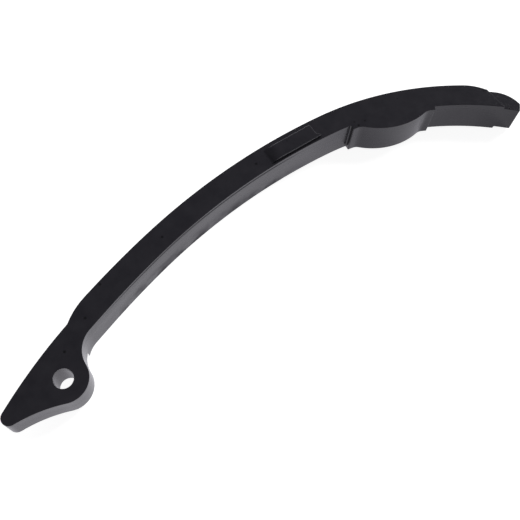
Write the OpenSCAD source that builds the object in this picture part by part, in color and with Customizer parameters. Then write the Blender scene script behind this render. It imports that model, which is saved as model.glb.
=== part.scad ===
// Timing chain guide
// One moulded arm. It swings on a pivot bolt, a chain runs along its bowed back between two low lips,
// and a tensioner pushes on the pad near its free end.
// Sizes are in millimetres and degrees. The pivot axis is the Z axis, with the bore's lower rim at Z = 0.
// The free end lies toward +X, the bow rises toward +Y, and the arm rests on its flat side below the rim.

/* [Show] */
// Sub-part to draw

/* [Pivot end] */
// Diameter of the bore for the pivot bolt
bore_diameter = 8.2; // [6:0.1:12]
// Radius of the round boss around the bore
boss_radius = 10.1; // [8:0.1:13]
// Distance of the tail's back from the pivot axis
back_height = 12.9; // [9:0.1:13]
// Radius of the slightly bowed back of the tail
back_radius = 230; // [150:5:600]
// Thickness of the boss and tail, which lie flush with the upper side
pivot_thickness = 12.8; // [6:0.1:17]
// Radius of the hub around the bore, below the boss
hub_radius = 8.2; // [7.5:0.1:9.5]
// Length of the bore through the boss and the hub
hub_thickness = 14.8; // [13:0.1:17]
// Gap between the boss and the step up to full width
step_gap = 3; // [0:0.1:6]
// Radius of the hollow where the boss runs into the arm
neck_radius = 12.5; // [6:0.1:20]

/* [Tail] */
// Length from the pivot axis to the centre of the tail's tip
tail_length = 24.1; // [18:0.1:32]
// Direction of the tail, measured from +X
tail_direction = 185.3; // [175:0.1:195]
// Radius of the tail's tip
tail_tip_radius = 3.4; // [2:0.1:6]
// Radius of the shallow hollow along the tail's lower edge
tail_hollow_radius = 60; // [30:1:120]

/* [Bow] */
// Width of the arm across the chain
arm_width = 17.6; // [12:0.1:24]
// Depth of the arm from the lip tops to the inner edge
arm_depth = 11.2; // [8:0.1:16]
// Distance of the bow's first point from the pivot, along X
bow_start_x = 22.7; // [20:0.1:28]
// Distance of the bow's first point from the pivot, along Y
bow_start_y = 25.6; // [23:0.1:29]
// Slope of the back at the bow's first point
bow_start_slope = 19.7; // [12:0.1:26]
// Radius of the back near the pivot
first_radius = 445; // [300:5:600]
// Angle of the back near the pivot
first_sweep = 4.7; // [2:0.1:8]
// Radius of the back at mid length
middle_radius = 310; // [240:5:400]
// Angle of the back at mid length
middle_sweep = 18.7; // [12:0.1:24]
// Radius of the back near the free end
last_radius = 150; // [120:1:220]
// Angle of the back near the free end, up to the end face
last_sweep = 39.3; // [34:0.1:44]

/* [Chain channel] */
// Height of the two lips above the chain's running face
lip_height = 1.6; // [0.8:0.1:3]
// Thickness of each lip
lip_thickness = 2; // [1.2:0.1:4]
// Radius of the rounded lead-in next to the pivot
lead_in_radius = 33; // [20:1:60]
// Radius of the rounded run-out next to the free end
run_out_radius = 25; // [15:1:50]

/* [Free end] */
// Angle of the nose, from the run-out's first point to the end face
nose_sweep = 10.9; // [9:0.1:14]
// Depth of the nose from the lip tops to the inner edge
nose_depth = 11.6; // [10:0.1:16]
// Drop of the nose's back below the lip tops
nose_drop_height = 2.1; // [1.8:0.1:4]
// Radius of the nose's rounded back corner
nose_radius = 16; // [12:0.5:22]
// Angle of the nose's rounded back corner
nose_corner_sweep = 5; // [3:0.1:6]
// Depth of the relief on each side of the nose
nose_relief_depth = 1.5; // [0.5:0.1:3]
// Angle of the relief along the back edge
relief_back_sweep = 6.4; // [4.5:0.1:8]
// Angle of the relief along the inner edge
relief_inner_sweep = 3.3; // [2:0.1:4]

/* [Push pad] */
// Angle from the start of the last bow to the pad's first corner
pad_start_angle = 4.3; // [2:0.1:7]
// Angle that the pad covers
pad_sweep = 17.6; // [14:0.1:19]
// Height of the pad's flat ends above the inner edge
pad_base_height = 2.3; // [1.5:0.1:4]
// Height of the pad's crown above the inner edge
pad_crown_height = 7.7; // [5:0.1:11]
// Radius of the pad's crowned face
pad_crown_radius = 34; // [25:1:50]
// Radius of the hollow between each flat end and the crown
pad_hollow_radius = 5; // [2:0.5:10]

/* [Side pad] */
// Length of the raised pad on the upper side
side_pad_length = 28; // [15:0.5:40]
// Breadth of the raised pad
side_pad_breadth = 7.4; // [4:0.1:9]
// Height of the raised pad
side_pad_height = 2; // [0.5:0.1:3]
// Distance from the pad's near edge to the arm's inner edge
side_pad_edge_gap = 0.9; // [0.5:0.1:2]
// Length of the ramp at the pad's pivot end
side_pad_ramp_length = 3.2; // [0.5:0.1:6]
// Distance of the pad's middle past the bow's highest point
side_pad_shift = 0.4; // [-10:0.1:10]
// Length of the pointed toe at the pad's other end
side_pad_toe_length = 2; // [0:0.1:5]
// Breadth of the pointed toe, next to the near edge
side_pad_toe_breadth = 1.8; // [0.5:0.1:4]

/* [Hidden] */
$fa = 0.5;
$fs = 0.4;

// Length by which a cutter reaches past the face it cuts
past = 2;
// Angle by which neighbouring arcs overlap
lap_angle = 2;
// Angle of the wedge that trims the nose's corner
corner_angle = 70;
// Hair's breadth by which touching arcs cross, so that they join cleanly
hair = 0.004;

// Level of the flat side that the arm rests on
rest_level = hub_thickness - arm_width;

// Point at a direction and a distance
function polar(angle, distance) = distance * [cos(angle), sin(angle)];

// Direction of a vector
function heading(vector) = atan2(vector[1], vector[0]);

// Place where two circles cross, on the left of the line from the first centre to the second
function crossing(centre_a, radius_a, centre_b, radius_b) =
    let (gap = norm(centre_b - centre_a))
    let (along = (gap * gap + radius_a * radius_a - radius_b * radius_b) / (2 * gap))
    let (aside = sqrt(max(0, radius_a * radius_a - along * along)))
    let (step = (centre_b - centre_a) / gap)
    centre_a + along * step + aside * [-step[1], step[0]];

// Directions of the back's normal where the bow's arcs begin and end
first_normal = 90 + bow_start_slope;
middle_normal = first_normal - first_sweep;
last_normal = middle_normal - middle_sweep;
end_normal = last_normal - last_sweep;
nose_normal = end_normal + nose_sweep;

// Centres of the bow's arcs. Neighbouring arcs touch on a common normal.
bow_start = [bow_start_x, bow_start_y];
first_centre = bow_start - polar(first_normal, first_radius);
middle_centre = first_centre + polar(middle_normal, first_radius - middle_radius + hair);
last_centre = middle_centre + polar(last_normal, middle_radius - last_radius + hair);
lead_in_centre = bow_start - polar(first_normal, lead_in_radius - hair);
run_out_centre = last_centre + polar(nose_normal, last_radius - run_out_radius + hair);

// The tail's back is an arc that touches the tip's circle and a circle about the pivot
tail_centre = polar(tail_direction, tail_length);
back_centre = crossing([0, 0], back_radius - back_height, tail_centre, back_radius - tail_tip_radius);
back_first = heading(tail_centre - back_centre);
back_foot = crossing(back_centre, back_radius, lead_in_centre, lead_in_radius);
back_last = heading(back_foot - back_centre) - lap_angle / 2;
back_start = tail_centre + polar(back_first, tail_tip_radius - hair);
back_end = back_centre + polar(back_last, back_radius);

// Direction at which the lead-in has run down to the tail's back
lead_in_normal = heading(back_foot - lead_in_centre) + lap_angle;

// Hollow along the tail, touching the boss and the tail's tip
tail_hollow = crossing(
    [0, 0], boss_radius + tail_hollow_radius, tail_centre, tail_tip_radius + tail_hollow_radius
);

// Place where the hollow meets the tail's tip
tail_share = tail_tip_radius / (tail_tip_radius + tail_hollow_radius);
tail_end = tail_centre + tail_share * (tail_hollow - tail_centre);

// Hollow of the neck, touching the boss and the arm's inner edge
inner_start = bow_start - polar(first_normal, arm_depth);
neck_drop = inner_start * polar(first_normal + 180, 1) + neck_radius;
neck_along = sqrt(max(0, pow(boss_radius + neck_radius, 2) - neck_drop * neck_drop));
neck_centre = polar(first_normal + 180, neck_drop) + polar(first_normal - 90, neck_along);

// Radii about the last centre
inner_radius = last_radius - arm_depth;
nose_inner_radius = last_radius - nose_depth;
nose_back_radius = last_radius - nose_drop_height;
pad_base_radius = inner_radius - pad_base_height;

// Angle through which the run-out turns before it has dropped to the nose's back
run_out_offset = last_radius - run_out_radius;
run_out_cosine = (pow(nose_back_radius, 2) - pow(run_out_offset, 2) - pow(run_out_radius, 2))
    / (2 * run_out_offset * run_out_radius);
run_out_sweep = acos(run_out_cosine) + lap_angle;

// Push pad
pad_first_normal = last_normal - pad_start_angle;
pad_last_normal = pad_first_normal - pad_sweep;
pad_middle_normal = (pad_first_normal + pad_last_normal) / 2;
pad_centre = last_centre + polar(pad_middle_normal, inner_radius - pad_crown_height + pad_crown_radius);
pad_hollow_reach = pad_base_radius - pad_hollow_radius;
pad_hollow_spread = pad_crown_radius + pad_hollow_radius;
first_hollow = crossing(last_centre, pad_hollow_reach, pad_centre, pad_hollow_spread);
last_hollow = crossing(pad_centre, pad_hollow_spread, last_centre, pad_hollow_reach);

// Sector of a ring, from a first direction clockwise to a last one
module ring_sector(centre, inner, outer, first, last) {
    reach = outer / cos((first - last) / 2) + past;
    translate(centre)
    intersection() {
        difference() {
            circle(r = outer);
            circle(r = inner);
        }
        polygon([[0, 0], polar(first, reach), polar(last, reach)]);
    }
}

// Wedge outside a circle, which trims a corner to that circle's arc
module outside_corner(centre, radius, first, last) {
    translate(centre)
    difference() {
        polygon([[0, 0], polar(first, 3 * radius), polar(last, 3 * radius)]);
        circle(r = radius);
    }
}

// Outline of the boss, the tail and the neck
module pivot_outline() {
    difference() {
        union() {
            circle(r = boss_radius);
            translate(tail_centre)
            circle(r = tail_tip_radius);
            ring_sector(
                back_centre,
                back_radius - tail_tip_radius,
                back_radius,
                back_first,
                back_last
            );
            polygon([
                back_start,
                back_end,
                bow_start - polar(first_normal, arm_depth / 4),
                inner_start + polar(first_normal, arm_depth / 4) + polar(first_normal - 90, arm_depth / 2),
                inner_start,
                neck_centre + polar(first_normal, neck_radius),
                neck_centre * boss_radius / (boss_radius + neck_radius),
                tail_hollow * boss_radius / (boss_radius + tail_hollow_radius),
                tail_end
            ]);
        }
        translate(neck_centre)
        circle(r = neck_radius + hair);
        translate(tail_hollow)
        circle(r = tail_hollow_radius + hair);
    }
}

// One arc of the bow, to the arm's full depth
module bow_arc(centre, radius, first, last) {
    ring_sector(centre, radius - arm_depth, radius, first, last);
}

// Space under one arc of the bow
module under_arc(centre, radius, first, last) {
    ring_sector(centre, radius - 2 * arm_depth, radius - arm_depth, first, last);
}

// Outline of the bowed arm
module bow_outline() {
    difference() {
        union() {
            bow_arc(first_centre, first_radius, first_normal, middle_normal);
            bow_arc(middle_centre, middle_radius, middle_normal + lap_angle, last_normal);
            bow_arc(last_centre, last_radius, last_normal + lap_angle, nose_normal);
        }
        under_arc(first_centre, first_radius, first_normal + lap_angle, middle_normal);
        under_arc(middle_centre, middle_radius, middle_normal + lap_angle, last_normal);
    }
    ring_sector(
        lead_in_centre,
        lead_in_radius - arm_depth / 2,
        lead_in_radius,
        lead_in_normal,
        first_normal - lap_angle
    );
}

// Outline of the nose with its run-out and its rounded back corner
module nose_outline() {
    difference() {
        union() {
            ring_sector(
                last_centre,
                nose_inner_radius,
                nose_back_radius,
                pad_last_normal + lap_angle,
                end_normal
            );
            ring_sector(
                run_out_centre,
                run_out_radius - arm_depth / 2,
                run_out_radius,
                nose_normal + lap_angle,
                nose_normal - run_out_sweep
            );
        }
        outside_corner(
            last_centre + polar(end_normal + nose_corner_sweep, nose_back_radius - nose_radius + hair),
            nose_radius,
            end_normal + nose_corner_sweep,
            end_normal - corner_angle
        );
    }
}

// Area of the nose that lies beyond the slanted edge of its reliefs
module relief_outline() {
    back_edge = nose_back_radius + past;
    inner_edge = nose_inner_radius - past;
    turn = (relief_back_sweep - relief_inner_sweep) / (nose_back_radius - nose_inner_radius);
    translate(last_centre)
    polygon([
        polar(end_normal + relief_back_sweep + turn * past, back_edge),
        polar(end_normal - lap_angle, back_edge),
        polar(end_normal - lap_angle, inner_edge),
        polar(end_normal + relief_inner_sweep - turn * past, inner_edge)
    ]);
}

// Rounded hollow between a flat end of the push pad and its crown
module pad_hollow(centre) {
    toward_base = (centre - last_centre) / pad_hollow_reach;
    toward_crown = (centre - pad_centre) / pad_hollow_spread;
    difference() {
        polygon([
            last_centre + toward_base * pad_base_radius,
            last_centre + toward_base * inner_radius,
            pad_centre + toward_crown * (pad_crown_radius - past),
            pad_centre + toward_crown * pad_crown_radius
        ]);
        translate(centre)
        circle(r = pad_hollow_radius + hair);
    }
}

// Outline of the push pad, reaching into the arm
module push_pad_outline() {
    ring_sector(last_centre, pad_base_radius, inner_radius + past, pad_first_normal, pad_last_normal);
    intersection() {
        translate(pad_centre)
        circle(r = pad_crown_radius);
        translate(last_centre)
        circle(r = inner_radius + past);
    }
    pad_hollow(first_hollow);
    pad_hollow(last_hollow);
}

// One arc of the chain's running face, sunk between the lips
module channel_arc(centre, radius, first, last) {
    ring_sector(centre, radius - lip_height, radius + past, first, last);
}

// Chain's running face along the whole back
module channel_outline() {
    channel_arc(first_centre, first_radius, first_normal + lap_angle, middle_normal - lap_angle);
    channel_arc(middle_centre, middle_radius, middle_normal, last_normal - lap_angle);
    channel_arc(last_centre, last_radius, last_normal, end_normal);
}

// Raised pad on the upper side, with a ramp at one end and a pointed toe at the other
module side_pad() {
    near_edge = middle_centre[1] + middle_radius - arm_depth + side_pad_edge_gap;
    translate([middle_centre[0] + side_pad_shift - side_pad_length / 2, near_edge, arm_width])
    difference() {
        translate([0, 0, -past])
        linear_extrude(side_pad_height + past)
        polygon([
            [0, 0],
            [side_pad_length, 0],
            [side_pad_length - side_pad_toe_length, side_pad_toe_breadth],
            [side_pad_length - side_pad_toe_length, side_pad_breadth],
            [0, side_pad_breadth]
        ]);
        translate([0, side_pad_breadth + past, 0])
        rotate([90, 0, 0])
        linear_extrude(side_pad_breadth + 2 * past)
        polygon([
            [-past, 0],
            [0, 0],
            [side_pad_ramp_length, side_pad_height],
            [side_pad_ramp_length, side_pad_height + past],
            [-past, side_pad_height + past]
        ]);
    }
}

// Boss, tail and neck at the arm's full width
module pivot_end() {
    linear_extrude(arm_width)
    pivot_outline();
}

// Space below the boss and the tail, up to the step
module space_below() {
    reach = tail_length + 2 * boss_radius;
    translate([-reach, -reach, -past])
    cube([reach + boss_radius + step_gap, 2 * reach, past + arm_width - pivot_thickness]);
}

// Hub below the boss
module hub() {
    translate([0, 0, arm_width - hub_thickness])
    cylinder(r = hub_radius, h = hub_thickness);
}

// Arm, push pad and nose, with the chain channel cut along the back
module arm() {
    difference() {
        linear_extrude(arm_width) {
            bow_outline();
            push_pad_outline();
            nose_outline();
        }
        translate([0, 0, lip_thickness])
        linear_extrude(arm_width - 2 * lip_thickness)
        channel_outline();
        translate([0, 0, -past])
        linear_extrude(past + nose_relief_depth)
        relief_outline();
        translate([0, 0, arm_width - nose_relief_depth])
        linear_extrude(past + nose_relief_depth)
        relief_outline();
    }
}

module guide() {
    color([0.13, 0.13, 0.14])
    translate([0, 0, rest_level])
    difference() {
        union() {
            difference() {
                union() {
                    pivot_end();
                    arm();
                }
                space_below();
            }
            hub();
            side_pad();
        }
        translate([0, 0, -past])
        cylinder(d = bore_diameter, h = arm_width + 2 * past);
    }
}

guide();
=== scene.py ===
import math
import bmesh
import bpy
import numpy as np
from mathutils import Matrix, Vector


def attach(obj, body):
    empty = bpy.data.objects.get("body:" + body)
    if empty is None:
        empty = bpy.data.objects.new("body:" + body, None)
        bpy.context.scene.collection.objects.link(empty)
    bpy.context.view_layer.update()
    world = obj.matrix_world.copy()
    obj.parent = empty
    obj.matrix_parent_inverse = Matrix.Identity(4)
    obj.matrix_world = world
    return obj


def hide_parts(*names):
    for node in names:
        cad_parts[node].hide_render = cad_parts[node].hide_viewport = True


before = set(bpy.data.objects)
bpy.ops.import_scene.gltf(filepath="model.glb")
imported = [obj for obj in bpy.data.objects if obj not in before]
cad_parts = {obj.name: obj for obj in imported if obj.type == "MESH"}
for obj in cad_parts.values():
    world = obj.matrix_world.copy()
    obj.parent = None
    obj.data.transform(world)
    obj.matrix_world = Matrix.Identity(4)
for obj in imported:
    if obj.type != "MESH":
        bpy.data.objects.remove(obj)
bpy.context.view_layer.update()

# Sizes of the guide, in millimetres and degrees, the same as in the part's source.
BORE_RADIUS = 4.1
BOSS_RADIUS = 10.1
BACK_DISTANCE = 12.9
BACK_RADIUS = 230.0
PIVOT_THICKNESS = 12.8
HUB_RADIUS = 8.2
HUB_THICKNESS = 14.8
STEP_GAP = 3.0
NECK_RADIUS = 12.5
TAIL_REACH = 24.1
TAIL_DIRECTION = 185.3
TAIL_TIP_RADIUS = 3.4
TAIL_HOLLOW_RADIUS = 60.0
ARM_WIDTH = 17.6
ARM_DEPTH = 11.2
BOW_START = np.array([22.7, 25.6])
BOW_START_SLOPE = 19.7
FIRST_RADIUS, FIRST_SWEEP = 445.0, 4.7
MIDDLE_RADIUS, MIDDLE_SWEEP = 310.0, 18.7
LAST_RADIUS, LAST_SWEEP = 150.0, 39.3
LIP_HEIGHT = 1.6
LIP_THICKNESS = 2.0
LEAD_IN_RADIUS = 33.0
RUN_OUT_RADIUS = 25.0
NOSE_SWEEP = 10.9
NOSE_DEPTH = 11.6
NOSE_DROP = 2.1
NOSE_RADIUS = 16.0
NOSE_CORNER_SWEEP = 5.0
NOSE_RELIEF = 1.5
RELIEF_BACK_SWEEP = 6.4
RELIEF_INNER_SWEEP = 3.3
PAD_START, PAD_SWEEP = 4.3, 17.6
PAD_BASE_HEIGHT = 2.3
PAD_CROWN_HEIGHT = 7.7
PAD_CROWN_RADIUS = 34.0
PAD_HOLLOW_RADIUS = 5.0
SIDE_PAD_LENGTH = 28.0
SIDE_PAD_BREADTH = 7.4
SIDE_PAD_HEIGHT = 2.0
SIDE_PAD_EDGE = 0.9
SIDE_PAD_RAMP = 3.2
SIDE_PAD_SHIFT = 0.4
SIDE_PAD_TOE_LENGTH, SIDE_PAD_TOE_BREADTH = 2.0, 1.8

# Roundings that the moulding has and the solids leave out.
EDGE_ROUND = 0.22
LIP_ROUND = 0.4
CHANNEL_FILLET = 0.35
STEP_ROUND = 0.35
CORNER_ROUND = 0.6
ROOT_ROUND = 0.65
BORE_ROUND = 0.12
PAD_EDGE_ROUND = 0.6

# How the shapes are cut up and joined, in the same units.
SAME_PLACE = 0.02
ARC_ANGLE, ARC_LENGTH = 4, 1.5
CORNER_ANGLE = 9
CORNER_SHARE = 0.45
CORNER_STEPS = 8
STEP_SPREAD = 0.01
LIP_SHARE = 0.45
BORE_TURNS = 72
WELD, SLIVER = 0.002, 0.001
SIDE_PAD_ROOT = 1.0
RAMP_STEPS = 9
PAD_EDGE_STEPS = 4
PAD_SHARP_ANGLE = 30
SHADING_ANGLE = 45
FLAT_WEIGHT = 50

# One millimetre in the scene's metres.
MM = 0.001

# Finish of the nylon. Pattern scales are cells in a metre, and lengths are metres.
REFRACTION = 1.44
SHEEN_TINT = (0.96, 0.94, 1.0, 1)
DARK_TONE = (0.0185, 0.0178, 0.0222)
PALE_TONE = (0.0265, 0.0255, 0.0305)
# Near-black tone of the pits: painted shade in their dents.
PIT_SHADE_TONE = (0.006, 0.006, 0.007, 1)
TONE_RANGE = 0.3, 0.72
GRAIN_SCALE = 2600.0
CLOUD_SCALE = 140.0
FLOW_SCALE, FLOW_STRETCH = 220.0, 0.06
PIT_SCALE, PIT_CORE, PIT_RIM = 150.0, 0.04, 0.13
MIDDLE_RANGE = 0.3, 0.7
BAND_ROUGHNESS = 0.17, 0.25
GRAIN_ROUGHNESS = 0.08
DULL_ROUGHNESS = 0.5
STREAK_DEPTH, STREAK_WAVE = 0.0033, 0.003
STREAK_CORE, STREAK_RIM = 0.0002, 0.0010
PATCH_TOP, PATCH_FULL = 0.008, 0.018
PATCH_RANGE = 0.35, 0.65
DULL_MIDDLE, DULL_CORE, DULL_END = 0.085, 0.04, 0.065
PIT_HEIGHT = -1.2
GRAIN_BUMP, GRAIN_DEPTH = 0.22, 0.00006
BAND_BUMP, BAND_DEPTH = 0.06, 0.0002

# Surroundings, in metres. The walls mirror the floor's bands of painted light and shade, which follow one another
# along X.
FLOOR_SIZE, FLOOR_MIDDLE = 6.0, 0.1
FLOOR_GREY = (0.5, 0.5, 0.5, 1)
FLOOR_WHITE = (0.9, 0.9, 0.9, 1)
FLOOR_RANGE = 0.03, 0.30
# Levels of the painted light and shade that the walls mirror, at places along X.
PAINTED_FLOOR_BANDS = (
    (0.0, 0.81), (0.16, 0.74), (0.45, 0.94), (0.6, 0.78), (0.73, 0.78), (0.8, 0.5), (1.0, 0.44),
)
# Painted bluish tint of that reflection.
PAINTED_FLOOR_TINT = (1.0, 0.983, 1.058)
HORIZON, ZENITH = (0.0, (0.95, 0.95, 0.95)), (0.75, (0.16, 0.16, 0.17))
BRIGHT_X, BRIGHT_Y, MIRRORED_TURN = 0.8, 0.6, -1.2
BRIGHT_RANGE, BRIGHT_LEVELS = (-0.8, 0.6), (0.2, 1.1)
LAMP_TARGET = Vector((0.1, 0.02, 0.0))

# Camera of the photograph, in metres and degrees.
CAMERA_PLACE = (0.012061, -0.095571, 0.293485)
CAMERA_TURN = (24.08804, -2.74901, -34.04351)
CAMERA_LENS, CAMERA_SENSOR = 49.846, 36.0
CAMERA_CLIP = 0.01


def polar(angle, distance):
    turn = math.radians(angle)
    return distance * np.array([math.cos(turn), math.sin(turn)])


def heading(vector):
    return math.degrees(math.atan2(vector[1], vector[0]))


def crossing(centre_a, radius_a, centre_b, radius_b):
    """Place where two circles cross, on the left of the line from the first centre to the second."""
    gap = np.linalg.norm(centre_b - centre_a)
    along = (gap**2 + radius_a**2 - radius_b**2) / (2 * gap)
    aside = math.sqrt(max(0.0, radius_a**2 - along**2))
    step = (centre_b - centre_a) / gap
    return centre_a + along * step + aside * np.array([-step[1], step[0]])


def quarter_round(radius=1.0, angles=(0, 30, 60, 90)):
    """Points of a quarter circle: the first distance grows from nothing to the radius, the second shrinks."""
    turns = np.radians(angles)
    return [(radius * (1 - math.cos(turn)), radius * (1 - math.sin(turn))) for turn in turns]


class Outline:
    """Clockwise outline of the guide seen from above, with the channel floor that lies under each stretch."""

    def __init__(self):
        self.points, self.floors = [], []

    def add(self, point, floor=None):
        if self.points and np.linalg.norm(point - self.points[-1]) < SAME_PLACE:
            return
        self.points.append(np.array(point, float))
        self.floors.append(floor)

    def arc(self, centre, radius, first, last, floor=None, short=True):
        sweep = last - first
        if short:
            sweep = (sweep + 180) % 360 - 180
        length = abs(math.radians(sweep)) * radius
        count = max(3, math.ceil(abs(sweep) / ARC_ANGLE), math.ceil(length / ARC_LENGTH))
        for step in range(count + 1):
            self.add(centre + polar(first + sweep * step / count, radius), floor)

    def close(self):
        """Drops the last point where it falls on the first one."""
        if np.linalg.norm(self.points[-1] - self.points[0]) < SAME_PLACE:
            self.points.pop()
            self.floors.pop()

    def round_corners(self, corner, root):
        """Rounds each sharp plan corner, and each sharp root, which turns the other way."""
        points, floors, rounded, kept = self.points, self.floors, [], []
        for i, here in enumerate(points):
            before, after = points[i - 1], points[(i + 1) % len(points)]
            inward, outward = here - before, after - here
            turn = (heading(outward) - heading(inward) + 180) % 360 - 180
            if abs(turn) < CORNER_ANGLE:
                rounded.append(here)
                kept.append(floors[i])
                continue
            reach = corner if turn < 0 else root
            back = min(reach, CORNER_SHARE * np.linalg.norm(inward))
            ahead = min(reach, CORNER_SHARE * np.linalg.norm(outward))
            start = here - back * inward / np.linalg.norm(inward)
            stop = here + ahead * outward / np.linalg.norm(outward)
            for step in np.linspace(0, 1, CORNER_STEPS):
                rounded.append((1 - step) ** 2 * start + 2 * step * (1 - step) * here + step**2 * stop)
                kept.append(floors[i])
        self.points, self.floors = rounded, kept


first_normal = 90 + BOW_START_SLOPE
middle_normal = first_normal - FIRST_SWEEP
last_normal = middle_normal - MIDDLE_SWEEP
end_normal = last_normal - LAST_SWEEP
nose_normal = end_normal + NOSE_SWEEP
first_centre = BOW_START - polar(first_normal, FIRST_RADIUS)
middle_centre = first_centre + polar(middle_normal, FIRST_RADIUS - MIDDLE_RADIUS)
last_centre = middle_centre + polar(last_normal, MIDDLE_RADIUS - LAST_RADIUS)
inner_radius = LAST_RADIUS - ARM_DEPTH
nose_inner_radius = LAST_RADIUS - NOSE_DEPTH
nose_back_radius = LAST_RADIUS - NOSE_DROP
plate_under = ARM_WIDTH - PIVOT_THICKNESS
rest_level = HUB_THICKNESS - ARM_WIDTH


def trace_outline():
    """Goes from the tail's tip along the back to the nose, and home along the inner side."""
    line = Outline()
    centre = np.zeros(2)
    first_floor = (first_centre, FIRST_RADIUS - LIP_HEIGHT)
    middle_floor = (middle_centre, MIDDLE_RADIUS - LIP_HEIGHT)
    last_floor = (last_centre, LAST_RADIUS - LIP_HEIGHT)

    # Tail, back of the boss and lead-in.
    tail = polar(TAIL_DIRECTION, TAIL_REACH)
    hollow = crossing(centre, BOSS_RADIUS + TAIL_HOLLOW_RADIUS, tail, TAIL_TIP_RADIUS + TAIL_HOLLOW_RADIUS)
    back = crossing(centre, BACK_RADIUS - BACK_DISTANCE, tail, BACK_RADIUS - TAIL_TIP_RADIUS)
    back_normal = heading(tail - back)
    tip_turn = heading(hollow - tail)
    line.arc(tail, TAIL_TIP_RADIUS, tip_turn + 360 * (tip_turn < back_normal), back_normal, short=False)
    lead_in = BOW_START - polar(first_normal, LEAD_IN_RADIUS)
    foot = crossing(back, BACK_RADIUS, lead_in, LEAD_IN_RADIUS)
    line.arc(back, BACK_RADIUS, back_normal, heading(foot - back))
    line.arc(lead_in, LEAD_IN_RADIUS, heading(foot - lead_in), first_normal, first_floor)

    # Bow and run-out.
    line.arc(first_centre, FIRST_RADIUS, first_normal, middle_normal, first_floor)
    line.arc(middle_centre, MIDDLE_RADIUS, middle_normal, last_normal, middle_floor)
    line.arc(last_centre, LAST_RADIUS, last_normal, nose_normal, last_floor)
    offset = LAST_RADIUS - RUN_OUT_RADIUS
    run_out = last_centre + polar(nose_normal, offset)
    cosine = (nose_back_radius**2 - offset**2 - RUN_OUT_RADIUS**2) / (2 * offset * RUN_OUT_RADIUS)
    run_out_end = nose_normal - math.degrees(math.acos(cosine))
    line.arc(run_out, RUN_OUT_RADIUS, nose_normal, run_out_end, last_floor)

    # Nose.
    corner_normal = end_normal + NOSE_CORNER_SWEEP
    line.arc(last_centre, nose_back_radius, heading(line.points[-1] - last_centre), corner_normal)
    corner = nose_back_radius - NOSE_RADIUS
    aside = corner * math.sin(math.radians(NOSE_CORNER_SWEEP))
    ahead = math.sqrt(NOSE_RADIUS**2 - aside**2)
    corner_end = end_normal - math.degrees(math.atan2(aside, ahead))
    line.arc(last_centre + polar(corner_normal, corner), NOSE_RADIUS, corner_normal, corner_end)

    # Push pad.
    pad_first = last_normal - PAD_START
    pad_last = pad_first - PAD_SWEEP
    base_radius = inner_radius - PAD_BASE_HEIGHT
    line.arc(last_centre, nose_inner_radius, end_normal, pad_last)
    pad = last_centre + polar((pad_first + pad_last) / 2, inner_radius - PAD_CROWN_HEIGHT + PAD_CROWN_RADIUS)
    low, spread = base_radius - PAD_HOLLOW_RADIUS, PAD_CROWN_RADIUS + PAD_HOLLOW_RADIUS
    first_hollow = crossing(last_centre, low, pad, spread)
    last_hollow = crossing(pad, spread, last_centre, low)
    first_turn, last_turn = heading(first_hollow - last_centre), heading(last_hollow - last_centre)
    line.arc(last_centre, base_radius, pad_last, last_turn)
    line.arc(last_hollow, PAD_HOLLOW_RADIUS, last_turn, heading(pad - last_hollow))
    line.arc(pad, PAD_CROWN_RADIUS, heading(last_hollow - pad), heading(first_hollow - pad))
    line.arc(first_hollow, PAD_HOLLOW_RADIUS, heading(pad - first_hollow), first_turn)
    line.arc(last_centre, base_radius, first_turn, pad_first)

    # Inner side of the bow, neck and boss.
    line.arc(last_centre, inner_radius, pad_first, last_normal)
    line.arc(middle_centre, MIDDLE_RADIUS - ARM_DEPTH, last_normal, middle_normal)
    line.arc(first_centre, FIRST_RADIUS - ARM_DEPTH, middle_normal, first_normal)
    inner_start = BOW_START - polar(first_normal, ARM_DEPTH)
    drop = inner_start @ polar(first_normal + 180, 1) + NECK_RADIUS
    along = math.sqrt(max(0.0, (BOSS_RADIUS + NECK_RADIUS) ** 2 - drop**2))
    neck = polar(first_normal + 180, drop) + polar(first_normal - 90, along)
    line.arc(neck, NECK_RADIUS, first_normal, heading(-neck))
    line.arc(centre, BOSS_RADIUS, heading(neck), heading(hollow))
    line.arc(hollow, TAIL_HOLLOW_RADIUS, heading(-hollow), heading(tail - hollow))
    line.close()
    line.round_corners(CORNER_ROUND, ROOT_ROUND)
    return line


def step_rows(height):
    """Rows of a rounded step: distance past its edge and the drop there."""
    rows = [(-before - STEP_SPREAD, drop) for drop, before in quarter_round(STEP_ROUND)]
    return rows + [(past + STEP_SPREAD, height - above) for past, above in quarter_round(STEP_ROUND)]


def cross_step(line, tags, normal, place, rows, name):
    """Adds a point to the outline wherever a row of a step crosses it, and drops the points between the rows."""
    offsets = [row[0] for row in rows]
    points, floors, new_points, new_floors, new_tags = line.points, line.floors, [], [], []
    distance = [float(p @ normal) - place for p in points]
    for i, here in enumerate(points):
        after = (i + 1) % len(points)
        if not offsets[0] <= distance[i] <= offsets[-1]:
            new_points.append(here)
            new_floors.append(floors[i])
            new_tags.append(tags[i])
        met = []
        for row, offset in enumerate(offsets):
            if (distance[i] - offset) * (distance[after] - offset) < 0:
                share = (offset - distance[i]) / (distance[after] - distance[i])
                met.append((share, row))
        for share, row in sorted(met):
            new_points.append(here + share * (points[after] - here))
            new_floors.append(floors[i])
            new_tags.append((name, row))
    line.points, line.floors = new_points, new_floors
    return new_tags


def inward_normals(points):
    ahead = np.roll(points, -1, axis=0) - points
    behind = points - np.roll(points, 1, axis=0)
    ahead /= np.linalg.norm(ahead, axis=1)[:, None]
    behind /= np.linalg.norm(behind, axis=1)[:, None]
    along = ahead + behind
    along /= np.linalg.norm(along, axis=1)[:, None]
    return np.column_stack([along[:, 1], -along[:, 0]])


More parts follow.
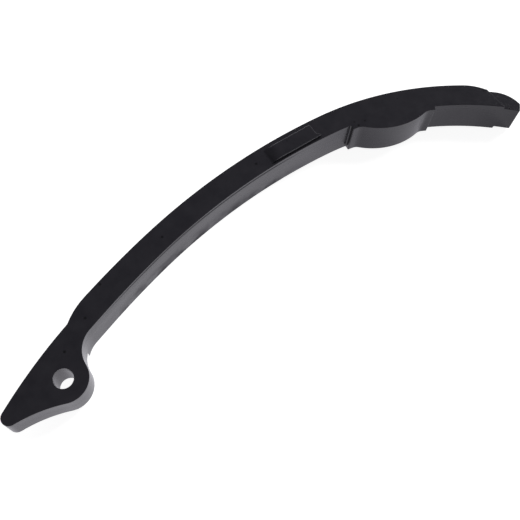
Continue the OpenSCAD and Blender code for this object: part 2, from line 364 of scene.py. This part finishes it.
PROFILE_KEYS = (
    "from_top", "drop_edge", "drop_lip", "drop_round", "drop_fillet", "in_edge", "in_depth", "in_round", "in_fillet",
)
WALL_SIZES = {
    "Edge round": EDGE_ROUND,
    "Lip thickness": LIP_THICKNESS,
    "Lip round": LIP_ROUND,
    "Channel fillet": CHANNEL_FILLET,
}


def profile_rows():
    """Rows of the wall from the upper rim to the lower one, each as shares of the sizes that the wall tree takes."""
    fine = quarter_round(angles=(0, 22.5, 45, 67.5, 90))
    upper = [dict(drop_edge=a, in_edge=b) for a, b in fine]
    upper += [dict(drop_lip=1, drop_round=-b, in_round=a) for a, b in quarter_round()]
    upper += [dict(drop_lip=1, drop_fillet=a, in_depth=1, in_fillet=-b) for a, b in quarter_round()]
    rows = [dict(row, from_top=1.0) for row in upper]
    rows.append(dict(from_top=0.5, in_depth=1))
    return rows + [dict(row, from_top=0.0) for row in reversed(upper)]


def points_object(name, positions, values):
    """A bare set of points that carries values for a node tree."""
    mesh = bpy.data.meshes.new(name)
    mesh.from_pydata([tuple(p) for p in positions], [], [])
    for key, column in values.items():
        column = np.asarray(column, np.float32)
        kind, word = ("FLOAT_VECTOR", "vector") if column.ndim == 2 else ("FLOAT", "value")
        mesh.attributes.new(key, kind, "POINT").data.foreach_set(word, column.ravel())
    thing = bpy.data.objects.new(name, mesh)
    bpy.context.scene.collection.objects.link(thing)
    return thing


class Tree:
    """Short words for building a node tree."""

    def __init__(self, group):
        self.group, self.nodes, self.links = group, group.nodes, group.links

    def feed(self, socket, value):
        if isinstance(value, bpy.types.NodeSocket):
            self.links.new(value, socket)
        else:
            socket.default_value = value

    def node(self, kind, inputs=None, **settings):
        made = self.nodes.new(kind)
        for key, value in settings.items():
            setattr(made, key, value)
        for key, value in (inputs or {}).items():
            self.feed(made.inputs[key], value)
        return made

    def math(self, operation, a, b=0.0, c=0.0):
        return self.node("ShaderNodeMath", {0: a, 1: b, 2: c}, operation=operation).outputs[0]

    def vector(self, operation, inputs):
        return self.node("ShaderNodeVectorMath", inputs, operation=operation).outputs

    def axes(self, vector):
        return self.node("ShaderNodeSeparateXYZ", {0: vector}).outputs

    def remap(self, value, span, ends=(0.0, 1.0)):
        limits = {"From Min": span[0], "From Max": span[1], "To Min": ends[0], "To Max": ends[1]}
        return self.node("ShaderNodeMapRange", {"Value": value, **limits}).outputs["Result"]

    def ramp(self, share, stops):
        """Colours that blend from stop to stop, each given as its place and its colour."""
        made = self.node("ShaderNodeValToRGB", {"Fac": share})
        elements = made.color_ramp.elements
        elements[0].position, elements[1].position = stops[0][0], stops[-1][0]
        for place, _ in stops[1:-1]:
            elements.new(place)
        for element, (_, colour) in zip(elements, stops):
            element.color = (*colour, 1)
        return made.outputs["Color"]

    def noise(self, place, scale, detail, roughness):
        inputs = {"Vector": place, "Scale": scale, "Detail": detail, "Roughness": roughness}
        return self.node("ShaderNodeTexNoise", inputs).outputs["Fac"]


class ShapeTree(Tree):
    """The same for a geometry tree, with words for its inputs and for values that points carry."""

    def __init__(self, name):
        super().__init__(bpy.data.node_groups.new(name, "GeometryNodeTree"))
        self.keys = {}

    def take(self, name, kind, default=None):
        socket = self.group.interface.new_socket(name, in_out="INPUT", socket_type=kind)
        if default is not None:
            socket.default_value = default
        self.keys[name] = socket.identifier

    def total(self, terms):
        """Sum of products, each given as a pair."""
        value = 0.0
        for a, b in terms:
            value = self.math("MULTIPLY_ADD", a, b, value)
        return value

    def count(self, geometry):
        return self.node("GeometryNodeAttributeDomainSize", {"Geometry": geometry}).outputs["Point Count"]

    def pick(self, geometry, value, index, kind="FLOAT"):
        picked = self.node("GeometryNodeSampleIndex", {"Geometry": geometry, "Index": index}, data_type=kind)
        self.links.new(value, picked.inputs["Value"])
        return picked.outputs["Value"]

    def sample(self, geometry, name, index, kind="FLOAT"):
        named = self.node("GeometryNodeInputNamedAttribute", {"Name": name}, data_type=kind)
        return self.pick(geometry, named.outputs["Attribute"], index, kind)


def wall_tree():
    """Lofts the wall: the rows of the rim profile run along the outline, and the lips fade with their depth."""
    tree = ShapeTree("wall_along_outline")
    tree.group.interface.new_socket("Geometry", in_out="OUTPUT", socket_type="NodeSocketGeometry")
    tree.take("Geometry", "NodeSocketGeometry")
    tree.take("Rim profile", "NodeSocketObject")
    for name, size in WALL_SIZES.items():
        tree.take(name, "NodeSocketFloat", size * MM)
    tree.take("Finish", "NodeSocketMaterial")
    given = tree.node("NodeGroupInput").outputs
    outline = given["Geometry"]
    profile = tree.node("GeometryNodeObjectInfo", {"Object": given["Rim profile"]}).outputs["Geometry"]

    # A grid with one column for each point of the outline, the first one twice, and one row for each profile row.
    around, across = tree.count(outline), tree.count(profile)
    columns = tree.math("ADD", around, 1.0)
    grid = tree.node("GeometryNodeMeshGrid", {"Vertices X": columns, "Vertices Y": across})
    index = tree.node("GeometryNodeInputIndex").outputs[0]
    row = tree.math("MODULO", index, across)
    turn = tree.math("FLOOR", tree.math("DIVIDE", tree.math("ADD", index, 0.5), across))
    column = tree.math("MODULO", turn, around)
    share = {key: tree.sample(profile, key, row) for key in PROFILE_KEYS}
    depth, upper, lower, along = (
        tree.sample(outline, name, column) for name in ("lip_depth", "upper", "lower", "along")
    )
    inward = tree.sample(outline, "inward", column, "FLOAT_VECTOR")
    position = tree.node("GeometryNodeInputPosition").outputs[0]
    place = tree.pick(outline, position, column, "FLOAT_VECTOR")

    # Drop from the rim and distance in from the outline.
    lip_room = tree.math("MULTIPLY", depth, LIP_SHARE)
    drop = tree.total([
        (share["drop_edge"], given["Edge round"]),
        (share["drop_lip"], given["Lip thickness"]),
        (share["drop_round"], given["Lip round"]),
        (share["drop_fillet"], given["Channel fillet"]),
    ])
    inset = tree.total([
        (share["in_edge"], given["Edge round"]),
        (share["in_depth"], depth),
        (share["in_round"], tree.math("MINIMUM", given["Lip round"], lip_room)),
        (share["in_fillet"], tree.math("MINIMUM", given["Channel fillet"], lip_room)),
    ])
    from_upper = tree.math("MULTIPLY", share["from_top"], tree.math("SUBTRACT", upper, drop))
    lower_share = tree.math("SUBTRACT", 1.0, share["from_top"])
    from_lower = tree.math("MULTIPLY", lower_share, tree.math("ADD", lower, drop))
    height = tree.node("ShaderNodeCombineXYZ", {"Z": tree.math("ADD", from_upper, from_lower)}).outputs[0]
    moved = tree.vector("SCALE", {0: inward, "Scale": inset})[0]
    level = tree.vector("ADD", {0: place, 1: moved})[0]
    target = tree.vector("ADD", {0: level, 1: height})[0]

    shaped = tree.node("GeometryNodeSetPosition", {"Geometry": grid.outputs["Mesh"], "Position": target})
    marked = tree.node("GeometryNodeStoreNamedAttribute", {
        "Geometry": shaped.outputs[0], "Name": "along", "Value": along,
    }, data_type="FLOAT", domain="POINT")
    real = tree.node("GeometryNodeRealizeInstances", {"Geometry": marked.outputs[0]})
    finished = tree.node("GeometryNodeSetMaterial", {"Geometry": real.outputs[0], "Material": given["Finish"]})
    tree.node("NodeGroupOutput", {0: finished.outputs[0]})
    return tree.group, tree.keys


def plain_mesh(thing):
    """Mesh that an object has after its modifiers."""
    return bpy.data.meshes.new_from_object(thing.evaluated_get(bpy.context.evaluated_depsgraph_get()))


def apply_modifiers(thing):
    mesh = plain_mesh(thing)
    thing.modifiers.clear()
    thing.data = mesh


def loft_wall(points, inward, depth, upper, lower, along, finish):
    """Runs the wall tree on the outline and returns a plain mesh."""
    flat = np.zeros(len(points))
    carrier = points_object("guide_outline", np.column_stack([points, flat]) * MM, {
        "inward": np.column_stack([inward, flat]),
        "lip_depth": depth * MM,
        "upper": upper * MM,
        "lower": lower * MM,
        "along": along * MM,
    })
    rows = profile_rows()
    rim = points_object("rim_profile", np.zeros((len(rows), 3)), {
        key: [row.get(key, 0.0) for row in rows] for key in PROFILE_KEYS
    })
    group, keys = wall_tree()
    loft = carrier.modifiers.new("wall", "NODES")
    loft.node_group = group
    loft[keys["Rim profile"]] = rim
    for name, size in WALL_SIZES.items():
        loft[keys[name]] = size * MM
    loft[keys["Finish"]] = finish
    mesh = plain_mesh(carrier)
    for helper in (carrier, rim):
        bpy.data.objects.remove(helper)
    return mesh


def finished_mesh(name, shape, finish):
    """Smooth mesh of a shape, brought down so that the bore's lower rim is at the frame's origin."""
    bmesh.ops.translate(shape, verts=shape.verts, vec=(0, 0, rest_level * MM))
    for face in shape.faces:
        face.smooth = True
        face.material_index = 0
    mesh = bpy.data.meshes.new(name)
    shape.to_mesh(mesh)
    shape.free()
    mesh.materials.clear()
    mesh.materials.append(finish)
    return mesh


def hub_and_bore_rows():
    """Radius and height of each ring, from the plate's lower face over the hub and up through the bore."""
    end = ARM_WIDTH - HUB_THICKNESS
    rows = [(HUB_RADIUS + b, plate_under - a) for a, b in quarter_round(STEP_ROUND)]
    rows += [(HUB_RADIUS - a, end + b) for a, b in quarter_round(EDGE_ROUND)]
    rows += [(BORE_RADIUS + a, end + b) for a, b in reversed(quarter_round(BORE_ROUND))]
    return rows + [(BORE_RADIUS + a, ARM_WIDTH - b) for a, b in quarter_round(BORE_ROUND)]


def turn_hub_and_bore(shape):
    """Adds the hub and the bore to a shape and returns their rings of points."""
    rings = []
    for radius, height in hub_and_bore_rows():
        ring = []
        for step in range(BORE_TURNS):
            x, y = polar(90 + 360 * step / BORE_TURNS, radius)
            ring.append(shape.verts.new((x * MM, y * MM, height * MM)))
        rings.append(ring)
    for ring, after in zip(rings, rings[1:]):
        for step in range(BORE_TURNS):
            ahead = (step + 1) % BORE_TURNS
            shape.faces.new((ring[step], ring[ahead], after[ahead], after[step]))
    return rings


def build_guide(finish):
    """The guide without its side pad, as one closed moulding with rounded edges."""
    line = trace_outline()
    tags = [None] * len(line.points)
    back_point = last_centre + polar(end_normal + RELIEF_BACK_SWEEP, nose_back_radius)
    inner_point = last_centre + polar(end_normal + RELIEF_INNER_SWEEP, nose_inner_radius)
    slant = (back_point - inner_point) / np.linalg.norm(back_point - inner_point)
    nose_side = np.array([slant[1], -slant[0]])
    nose_place = float(back_point @ nose_side)
    nose_rows = step_rows(NOSE_RELIEF)
    tags = cross_step(line, tags, nose_side, nose_place, nose_rows, "nose")
    plate_side = np.array([1.0, 0.0])
    plate_place = BOSS_RADIUS + STEP_GAP
    plate_rows = step_rows(plate_under)
    tags = cross_step(line, tags, plate_side, plate_place, plate_rows, "plate")

    # Depth of the channel and height of both rims at each point of the outline.
    points = np.array(line.points)
    count = len(points)
    inward = inward_normals(points)
    along = np.cumsum(np.linalg.norm(points - np.roll(points, 1, axis=0), axis=1))
    depth = np.zeros(count)
    for i, floor in enumerate(line.floors):
        if floor is not None:
            depth[i] = min(LIP_HEIGHT, max(0.0, np.linalg.norm(points[i] - floor[0]) - floor[1]))
    upper = np.full(count, ARM_WIDTH)
    lower = np.zeros(count)
    for i, tag in enumerate(tags):
        if tag and tag[0] == "nose":
            drop = nose_rows[tag[1]][1]
        else:
            drop = NOSE_RELIEF if points[i] @ nose_side - nose_place > 0 else 0.0
        upper[i] -= drop
        lower[i] += drop
        if tag and tag[0] == "plate":
            lower[i] = plate_under - plate_rows[tag[1]][1]
        elif points[i] @ plate_side - plate_place < 0:
            lower[i] = plate_under

    shape = bmesh.new()
    shape.from_mesh(loft_wall(points, inward, depth, upper, lower, along, finish))
    rim = points + EDGE_ROUND * inward
    upper_rim = [shape.verts.new((*(rim[i] * MM), upper[i] * MM)) for i in range(count)]
    lower_rim = [shape.verts.new((*(rim[i] * MM), lower[i] * MM)) for i in range(count)]

    def rows_of(name, rows):
        """For each row of a step, its point on the back and its point on the inner side."""
        return [[i for i, tag in enumerate(tags) if tag == (name, row)] for row in range(len(rows))]

    # Steps, the nose beyond its step and the arm's lower face.
    nose = rows_of("nose", nose_rows)
    plate = rows_of("plate", plate_rows)
    for ring, steps in ((upper_rim, nose), (lower_rim, nose), (lower_rim, plate)):
        for (a, b), (c, d) in zip(steps, steps[1:]):
            shape.faces.new((ring[a], ring[c], ring[d], ring[b]))
    for ring in (upper_rim, lower_rim):
        shape.faces.new([ring[i] for i in range(nose[-1][0], nose[-1][1] + 1)])
    body = list(range(plate[-1][0], nose[0][0] + 1)) + list(range(nose[0][1], plate[-1][1] + 1))
    shape.faces.new([lower_rim[i] for i in body])

    def split_face(ring, loop, hole):
        """Two faces round a hole, parted on the line through the hole's centre."""
        high = [i for i in loop if points[i][1] > 0]
        low = [i for i in loop if points[i][1] < 0 and abs(points[i][0]) < BOSS_RADIUS]
        start = min(high, key=lambda i: abs(points[i][0]))
        stop = min(low, key=lambda i: abs(points[i][0]))
        first, last = loop.index(start), loop.index(stop)
        arm_part = loop[first:last + 1]
        tail_part = loop[last:] + loop[:first + 1]
        half = BORE_TURNS // 2
        shape.faces.new([ring[i] for i in arm_part] + [hole[(half + s) % BORE_TURNS] for s in range(half + 1)])
        shape.faces.new([ring[i] for i in tail_part] + [hole[s] for s in range(half + 1)])

    # Upper face and the pivot plate's lower face, with the bore and the hub between them.
    rings = turn_hub_and_bore(shape)
    top = list(range(0, nose[0][0] + 1)) + list(range(nose[0][1], count))
    under_plate = list(range(0, plate[0][0] + 1)) + list(range(plate[0][1], count))
    split_face(upper_rim, top, rings[-1])
    split_face(lower_rim, under_plate, rings[0])
    bmesh.ops.remove_doubles(shape, verts=shape.verts, dist=WELD * MM)
    bmesh.ops.dissolve_degenerate(shape, dist=SLIVER * MM, edges=shape.edges)
    bmesh.ops.recalc_face_normals(shape, faces=shape.faces)
    return finished_mesh("guide_moulding", shape, finish)


def build_side_pad(finish):
    """Raised pad on the upper side, with a soft ramp toward the pivot and a pointed toe at the other end."""
    shape = bmesh.new()
    near = middle_centre[1] + MIDDLE_RADIUS - ARM_DEPTH + SIDE_PAD_EDGE
    start = middle_centre[0] + SIDE_PAD_SHIFT - SIDE_PAD_LENGTH / 2
    square_end = SIDE_PAD_LENGTH - SIDE_PAD_TOE_LENGTH
    ramp_end = 2 * SIDE_PAD_RAMP
    toe_plan = [(SIDE_PAD_LENGTH, 0), (square_end, SIDE_PAD_TOE_BREADTH), (square_end, SIDE_PAD_BREADTH)]

    def corner(x, y, height):
        return shape.verts.new(((start + x) * MM, (near + y) * MM, (ARM_WIDTH + height) * MM))

    # The ramp leaves the arm at the slope that the solid has, and bends over into the pad's flat top.
    rise = [(-SIDE_PAD_RAMP * SIDE_PAD_ROOT / SIDE_PAD_HEIGHT, -SIDE_PAD_ROOT)]
    for x in np.linspace(0, ramp_end, RAMP_STEPS):
        rise.append((x, SIDE_PAD_HEIGHT * (1 - (1 - x / ramp_end) ** 2)))
    front = [corner(x, 0, height) for x, height in rise]
    back = [corner(x, SIDE_PAD_BREADTH, height) for x, height in rise]
    toe = [corner(x, y, SIDE_PAD_HEIGHT) for x, y in toe_plan]
    foot = rise[0][0]
    sole = [corner(x, y, -2 * SIDE_PAD_ROOT) for x, y in [(foot, 0), *toe_plan, (foot, SIDE_PAD_BREADTH)]]
    outer = [
        (front[-1], *toe, back[-1]),
        (sole[0], sole[1], toe[0], *reversed(front)),
        (sole[1], sole[2], toe[1], toe[0]),
        (sole[2], sole[3], toe[2], toe[1]),
        (sole[3], sole[4], *back, toe[2]),
        (sole[4], sole[0], front[0], back[0]),
        sole[::-1],
    ]
    ramp = [(front[i], front[i + 1], back[i + 1], back[i]) for i in range(len(rise) - 1)]
    for corners in outer + ramp:
        shape.faces.new(corners).normal_update()

    # The sole, which is buried in the arm, and the lower half of the ramp keep plain edges.
    low = 1 + len(rise) // 2
    plain = {*front[:low], *back[:low], *sole}
    limit = math.radians(PAD_SHARP_ANGLE)
    sharp = [e for e in shape.edges if e.calc_face_angle() > limit and not plain.issuperset(e.verts)]
    bmesh.ops.bevel(
        shape, geom=sharp, offset=PAD_EDGE_ROUND * MM, offset_type="OFFSET", segments=PAD_EDGE_STEPS,
        profile=0.5, affect="EDGES",
    )
    return finished_mesh("side_pad", shape, finish)


def black_nylon():
    """Satin black moulded nylon: near black, with a fine grain, soft flow bands along the walls and rare pits, each
    painted darker as painted shade in its dent.
    """
    finish = bpy.data.materials.new("black_nylon")
    finish.use_nodes = True
    tree = Tree(finish.node_tree)
    shader = tree.nodes["Principled BSDF"].inputs
    shader["IOR"].default_value = REFRACTION
    shader["Specular Tint"].default_value = SHEEN_TINT
    place = tree.node("ShaderNodeTexCoord").outputs["Object"]
    axes = tree.axes(place)
    fade_out = 1.0, 0.0

    # Grain of a few tenths of a millimetre, clouds of a few millimetres, and flow bands that are long along the wall.
    grain = tree.noise(place, GRAIN_SCALE, detail=3.0, roughness=0.6)
    cloud = tree.noise(place, CLOUD_SCALE, detail=4.0, roughness=0.55)
    along = tree.node("ShaderNodeAttribute", attribute_name="along").outputs["Fac"]
    stretched = tree.math("MULTIPLY", along, FLOW_STRETCH)
    flow_place = tree.node("ShaderNodeCombineXYZ", {"X": stretched, "Y": axes["Z"]}).outputs[0]
    flow = tree.noise(flow_place, FLOW_SCALE, detail=1.5, roughness=0.5)

    # Pits in the middle of the cells of a coarse pattern, painted darker as painted shade in the dents, and the tone.
    cells = tree.node("ShaderNodeTexVoronoi", {"Vector": place, "Scale": PIT_SCALE, "Randomness": 1.0})
    pit = tree.remap(cells.outputs["Distance"], (PIT_CORE, PIT_RIM), fade_out)
    tone = tree.ramp(cloud, [(TONE_RANGE[0], DARK_TONE), (TONE_RANGE[1], PALE_TONE)])
    # The pits' dark colour is painted shade; their dent comes from the bump below.
    colour = tree.node("ShaderNodeMix", {"Factor": pit, "A": tone, "B": PIT_SHADE_TONE}, data_type="RGBA")
    tree.feed(shader["Base Color"], colour.outputs["Result"])

    # Gloss, with the flow bands on the walls only.
    normal = tree.node("ShaderNodeNewGeometry").outputs["Normal"]
    on_wall = tree.remap(tree.math("ABSOLUTE", tree.axes(normal)["Z"]), MIDDLE_RANGE, fade_out)
    band = tree.node("ShaderNodeMix", {"Factor": on_wall, "A": 0.5, "B": flow}).outputs["Result"]
    rough = tree.remap(band, MIDDLE_RANGE, BAND_ROUGHNESS)
    grained = tree.math("MULTIPLY_ADD", grain, GRAIN_ROUGHNESS, rough)

    # Dull skin on the bow's walls: a thin wavy streak under the upper rim, and patches toward the lower one.
    below = tree.math("SUBTRACT", (ARM_WIDTH + rest_level) * MM, axes["Z"])
    waved = tree.math("MULTIPLY_ADD", flow, STREAK_WAVE, below)
    off_streak = tree.math("ABSOLUTE", tree.math("SUBTRACT", waved, STREAK_DEPTH))
    streak = tree.remap(off_streak, (STREAK_CORE, STREAK_RIM), fade_out)
    low = tree.remap(below, (PATCH_TOP, PATCH_FULL))
    patches = tree.math("MULTIPLY", low, tree.remap(cloud, PATCH_RANGE))
    marks = tree.math("MAXIMUM", streak, patches)
    reach = tree.math("ABSOLUTE", tree.math("SUBTRACT", axes["X"], DULL_MIDDLE))
    on_bow = tree.math("MULTIPLY", on_wall, tree.remap(reach, (DULL_CORE, DULL_END), fade_out))
    dull = tree.math("MULTIPLY", marks, on_bow)
    tree.feed(shader["Roughness"], tree.math("MULTIPLY_ADD", dull, DULL_ROUGHNESS, grained))

    height = tree.math("MULTIPLY_ADD", pit, PIT_HEIGHT, grain)
    bump = tree.node("ShaderNodeBump", {"Height": height, "Strength": GRAIN_BUMP, "Distance": GRAIN_DEPTH})
    waves = tree.node("ShaderNodeBump", {
        "Height": band, "Strength": BAND_BUMP, "Distance": BAND_DEPTH, "Normal": bump.outputs["Normal"],
    })
    tree.feed(shader["Normal"], waves.outputs["Normal"])
    return finish


def pale_floor():
    """Plain floor that stays white to the camera and keeps a soft shadow, but glows for reflections in soft bluish
    bands of painted light and shade, a painted reflection that makes the walls lighter or darker along X.
    """
    bpy.ops.mesh.primitive_plane_add(size=FLOOR_SIZE, location=(FLOOR_MIDDLE, 0, rest_level * MM))
    floor = bpy.context.object
    floor.name = "floor"
    finish = bpy.data.materials.new("pale_floor")
    finish.use_nodes = True
    tree = Tree(finish.node_tree)
    tree.nodes.clear()
    path = tree.node("ShaderNodeLightPath").outputs
    lit = tree.node("ShaderNodeBsdfDiffuse", {"Color": FLOOR_GREY})
    white = tree.node("ShaderNodeEmission", {"Color": FLOOR_WHITE, "Strength": path["Is Camera Ray"]})
    position = tree.node("ShaderNodeNewGeometry").outputs["Position"]
    # Painted light and shade along X, seen only in reflections.
    stops = [(place, [level * tint for tint in PAINTED_FLOOR_TINT]) for place, level in PAINTED_FLOOR_BANDS]
    painted_bands = tree.ramp(tree.remap(tree.axes(position)["X"], FLOOR_RANGE), stops)
    seen = tree.math("MAXIMUM", path["Is Glossy Ray"], path["Is Transmission Ray"])
    mirrored = tree.node("ShaderNodeEmission", {"Color": painted_bands, "Strength": seen})
    glow = tree.node("ShaderNodeAddShader", {0: white.outputs[0], 1: mirrored.outputs[0]})
    total = tree.node("ShaderNodeAddShader", {0: lit.outputs[0], 1: glow.outputs[0]})
    tree.node("ShaderNodeOutputMaterial", {"Surface": total.outputs[0]})
    floor.data.materials.append(finish)


def soft_room():
    """Dim room, lighter toward the horizon, that shines from the back right but mirrors as bright at the front."""
    world = bpy.data.worlds.new("soft_room")
    bpy.context.scene.world = world
    world.use_nodes = True
    tree = Tree(world.node_tree)
    direction = tree.node("ShaderNodeTexCoord").outputs["Generated"]
    mirrored = tree.node("ShaderNodeLightPath").outputs["Is Glossy Ray"]
    bright_y = tree.math("MULTIPLY_ADD", mirrored, MIRRORED_TURN, BRIGHT_Y)
    bright_side = tree.node("ShaderNodeCombineXYZ", {"X": BRIGHT_X, "Y": bright_y}).outputs[0]
    toward = tree.vector("DOT_PRODUCT", {0: direction, 1: bright_side})["Value"]
    sky = tree.nodes["Background"].inputs
    tree.feed(sky["Color"], tree.ramp(tree.axes(direction)["Z"], [HORIZON, ZENITH]))
    tree.feed(sky["Strength"], tree.remap(toward, BRIGHT_RANGE, BRIGHT_LEVELS))


def soft_lamp(name, place, size, power, mirrored=True):
    """Round lamp aimed at the guide. One that isn't mirrored leaves no gleam on it."""
    data = bpy.data.lights.new(name, "AREA")
    data.shape = "DISK"
    data.size = size
    data.energy = power
    lamp = bpy.data.objects.new(name, data)
    lamp.location = place
    lamp.rotation_euler = (LAMP_TARGET - Vector(place)).to_track_quat("-Z", "Y").to_euler()
    lamp.visible_glossy = mirrored
    bpy.context.scene.collection.objects.link(lamp)


def photo_camera():
    """Camera at the photograph's place: above the pivot end, looking down along the arm."""
    data = bpy.data.cameras.new("camera")
    data.sensor_width = CAMERA_SENSOR
    data.lens = CAMERA_LENS
    data.clip_start = CAMERA_CLIP
    camera = bpy.data.objects.new("camera", data)
    camera.location = CAMERA_PLACE
    camera.rotation_euler = [math.radians(angle) for angle in CAMERA_TURN]
    bpy.context.scene.collection.objects.link(camera)
    bpy.context.scene.camera = camera


def dress_guide():
    """The moulding and its side pad merged into one mesh, with even shading and the flat faces cut up."""
    finish = black_nylon()
    guide = bpy.data.objects.new("guide_moulding", build_guide(finish))
    side_pad = bpy.data.objects.new("side_pad", build_side_pad(finish))
    for thing in (guide, side_pad):
        bpy.context.scene.collection.objects.link(thing)
    merge = guide.modifiers.new("side_pad", "BOOLEAN")
    merge.operation = "UNION"
    merge.solver = "EXACT"
    merge.object = side_pad
    apply_modifiers(guide)
    bpy.data.objects.remove(side_pad)
    guide.data.set_sharp_from_angle(angle=math.radians(SHADING_ANGLE))
    even = guide.modifiers.new("even_shading", "WEIGHTED_NORMAL")
    even.weight = FLAT_WEIGHT
    even.keep_sharp = True
    flats = guide.modifiers.new("flats", "TRIANGULATE")
    flats.ngon_method = "BEAUTY"
    flats.min_vertices = 5
    flats.keep_custom_normals = True
    apply_modifiers(guide)
    return guide


def main():
    bpy.context.scene.view_settings.view_transform = "Standard"
    photo_camera()
    pale_floor()
    soft_room()
    soft_lamp("right_lamp", (2.3, 0.5, 2.2), size=1.2, power=59.0, mirrored=False)
    soft_lamp("back_lamp", (-0.1, 1.1, 0.32), size=0.6, power=3.0)
    guide = dress_guide()
    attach(guide, "root")
    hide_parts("guide")


main()
